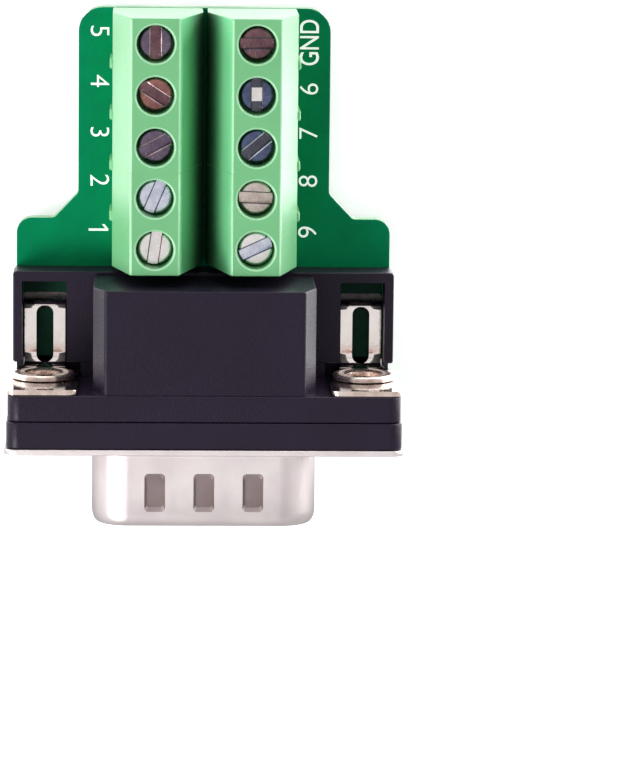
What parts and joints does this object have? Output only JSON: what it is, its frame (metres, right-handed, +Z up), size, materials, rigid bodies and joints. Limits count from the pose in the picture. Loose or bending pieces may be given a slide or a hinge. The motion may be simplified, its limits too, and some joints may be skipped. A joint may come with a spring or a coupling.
{
  "type": "d-sub terminal block adapter",
  "caption": "Right angle D-shaped plug on a small circuit board, each contact wired to its own screw terminal for a loose wire.",
  "frame": {"origin": "middle of the outer box at its underside, where the tips of the solder tails stand on the table", "axes": "+Z up, square to the board; -Y out of the mouth of the plug; +X to the right, seen from above with the plug towards the viewer"},
  "size_m": [0.0308, 0.0394, 0.0155],
  "materials": {
    "board_green": "green solder mask over glass fibre board, slightly glossy",
    "satin_nickel": "satin nickel plate on drawn steel",
    "black_moulding": "black glass-filled moulding",
    "contact_gold": "thin gold plate, dull tin on the tails",
    "plated_steel": "bright plated steel",
    "terminal_green": "pale green moulding, lightly glossy",
    "tinned_brass": "tinned brass"
  },
  "bodies": {
    "adapter": {"circuit_board": "board_green", "plug_shell": "satin_nickel", "pin_insulator": "black_moulding", "rear_housing": "black_moulding", "contact_1": "contact_gold", "contact_2": "contact_gold", "contact_3": "contact_gold", "contact_4": "contact_gold", "contact_5": "contact_gold", "contact_6": "contact_gold", "contact_7": "contact_gold", "contact_8": "contact_gold", "contact_9": "contact_gold", "threaded_insert_left": "plated_steel", "threaded_insert_right": "plated_steel", "board_lock_left": "plated_steel", "board_lock_right": "plated_steel", "terminal_housing_left": "terminal_green", "terminal_housing_right": "terminal_green", "terminal_pin_1": "tinned_brass", "terminal_pin_2": "tinned_brass", "terminal_pin_3": "tinned_brass", "terminal_pin_4": "tinned_brass", "terminal_pin_5": "tinned_brass", "terminal_pin_6": "tinned_brass", "terminal_pin_7": "tinned_brass", "terminal_pin_8": "tinned_brass", "terminal_pin_9": "tinned_brass", "terminal_pin_gnd": "tinned_brass"},
    "screw_body_1": {"screw_1": "plated_steel"},
    "clamp_body_1": {"clamp_1": "tinned_brass"},
    "screw_body_2": {"screw_2": "plated_steel"},
    "clamp_body_2": {"clamp_2": "tinned_brass"},
    "screw_body_3": {"screw_3": "plated_steel"},
    "clamp_body_3": {"clamp_3": "tinned_brass"},
    "screw_body_4": {"screw_4": "plated_steel"},
    "clamp_body_4": {"clamp_4": "tinned_brass"},
    "screw_body_5": {"screw_5": "plated_steel"},
    "clamp_body_5": {"clamp_5": "tinned_brass"},
    "screw_body_6": {"screw_6": "plated_steel"},
    "clamp_body_6": {"clamp_6": "tinned_brass"},
    "screw_body_7": {"screw_7": "plated_steel"},
    "clamp_body_7": {"clamp_7": "tinned_brass"},
    "screw_body_8": {"screw_8": "plated_steel"},
    "clamp_body_8": {"clamp_8": "tinned_brass"},
    "screw_body_9": {"screw_9": "plated_steel"},
    "clamp_body_9": {"clamp_9": "tinned_brass"},
    "screw_body_gnd": {"screw_gnd": "plated_steel"},
    "clamp_body_gnd": {"clamp_gnd": "tinned_brass"}
  },
  "joints": [
    {"name": "screw_1_turn", "type": "hinge", "parent": "adapter", "child": "screw_body_1", "pos_m": [-0.00389, 0.00185, 0.01063], "axis": [0, 0, -1], "range_deg": [0, 1800]},
    {"name": "clamp_1_rise", "type": "slide", "parent": "adapter", "child": "clamp_body_1", "axis": [0, 0, 1], "range_m": [0, 0.002]},
    {"name": "screw_2_turn", "type": "hinge", "parent": "adapter", "child": "screw_body_2", "pos_m": [-0.00389, 0.00581, 0.01063], "axis": [0, 0, -1], "range_deg": [0, 1800]},
    {"name": "clamp_2_rise", "type": "slide", "parent": "adapter", "child": "clamp_body_2", "axis": [0, 0, 1], "range_m": [0, 0.002]},
    {"name": "screw_3_turn", "type": "hinge", "parent": "adapter", "child": "screw_body_3", "pos_m": [-0.00389, 0.00977, 0.01063], "axis": [0, 0, -1], "range_deg": [0, 1800]},
    {"name": "clamp_3_rise", "type": "slide", "parent": "adapter", "child": "clamp_body_3", "axis": [0, 0, 1], "range_m": [0, 0.002]},
    {"name": "screw_4_turn", "type": "hinge", "parent": "adapter", "child": "screw_body_4", "pos_m": [-0.00389, 0.01373, 0.01063], "axis": [0, 0, -1], "range_deg": [0, 1800]},
    {"name": "clamp_4_rise", "type": "slide", "parent": "adapter", "child": "clamp_body_4", "axis": [0, 0, 1], "range_m": [0, 0.002]},
    {"name": "screw_5_turn", "type": "hinge", "parent": "adapter", "child": "screw_body_5", "pos_m": [-0.00389, 0.01769, 0.01063], "axis": [0, 0, -1], "range_deg": [0, 1800]},
    {"name": "clamp_5_rise", "type": "slide", "parent": "adapter", "child": "clamp_body_5", "axis": [0, 0, 1], "range_m": [0, 0.002]},
    {"name": "screw_6_turn", "type": "hinge", "parent": "adapter", "child": "screw_body_6", "pos_m": [0.00389, 0.01373, 0.01063], "axis": [0, 0, -1], "range_deg": [0, 1800]},
    {"name": "clamp_6_rise", "type": "slide", "parent": "adapter", "child": "clamp_body_6", "axis": [0, 0, 1], "range_m": [0, 0.002]},
    {"name": "screw_7_turn", "type": "hinge", "parent": "adapter", "child": "screw_body_7", "pos_m": [0.00389, 0.00977, 0.01063], "axis": [0, 0, -1], "range_deg": [0, 1800]},
    {"name": "clamp_7_rise", "type": "slide", "parent": "adapter", "child": "clamp_body_7", "axis": [0, 0, 1], "range_m": [0, 0.002]},
    {"name": "screw_8_turn", "type": "hinge", "parent": "adapter", "child": "screw_body_8", "pos_m": [0.00389, 0.00581, 0.01063], "axis": [0, 0, -1], "range_deg": [0, 1800]},
    {"name": "clamp_8_rise", "type": "slide", "parent": "adapter", "child": "clamp_body_8", "axis": [0, 0, 1], "range_m": [0, 0.002]},
    {"name": "screw_9_turn", "type": "hinge", "parent": "adapter", "child": "screw_body_9", "pos_m": [0.00389, 0.00185, 0.01063], "axis": [0, 0, -1], "range_deg": [0, 1800]},
    {"name": "clamp_9_rise", "type": "slide", "parent": "adapter", "child": "clamp_body_9", "axis": [0, 0, 1], "range_m": [0, 0.002]},
    {"name": "screw_gnd_turn", "type": "hinge", "parent": "adapter", "child": "screw_body_gnd", "pos_m": [0.00389, 0.01769, 0.01063], "axis": [0, 0, -1], "range_deg": [0, 1800]},
    {"name": "clamp_gnd_rise", "type": "slide", "parent": "adapter", "child": "clamp_body_gnd", "axis": [0, 0, 1], "range_m": [0, 0.002]}
  ],
  "couplings": [
    {"joint": "screw_1_turn", "follows": "clamp_1_rise", "rad_per_m": 15708},
    {"joint": "screw_2_turn", "follows": "clamp_2_rise", "rad_per_m": 15708},
    {"joint": "screw_3_turn", "follows": "clamp_3_rise", "rad_per_m": 15708},
    {"joint": "screw_4_turn", "follows": "clamp_4_rise", "rad_per_m": 15708},
    {"joint": "screw_5_turn", "follows": "clamp_5_rise", "rad_per_m": 15708},
    {"joint": "screw_6_turn", "follows": "clamp_6_rise", "rad_per_m": 15708},
    {"joint": "screw_7_turn", "follows": "clamp_7_rise", "rad_per_m": 15708},
    {"joint": "screw_8_turn", "follows": "clamp_8_rise", "rad_per_m": 15708},
    {"joint": "screw_9_turn", "follows": "clamp_9_rise", "rad_per_m": 15708},
    {"joint": "screw_gnd_turn", "follows": "clamp_gnd_rise", "rad_per_m": 15708}
  ]
}
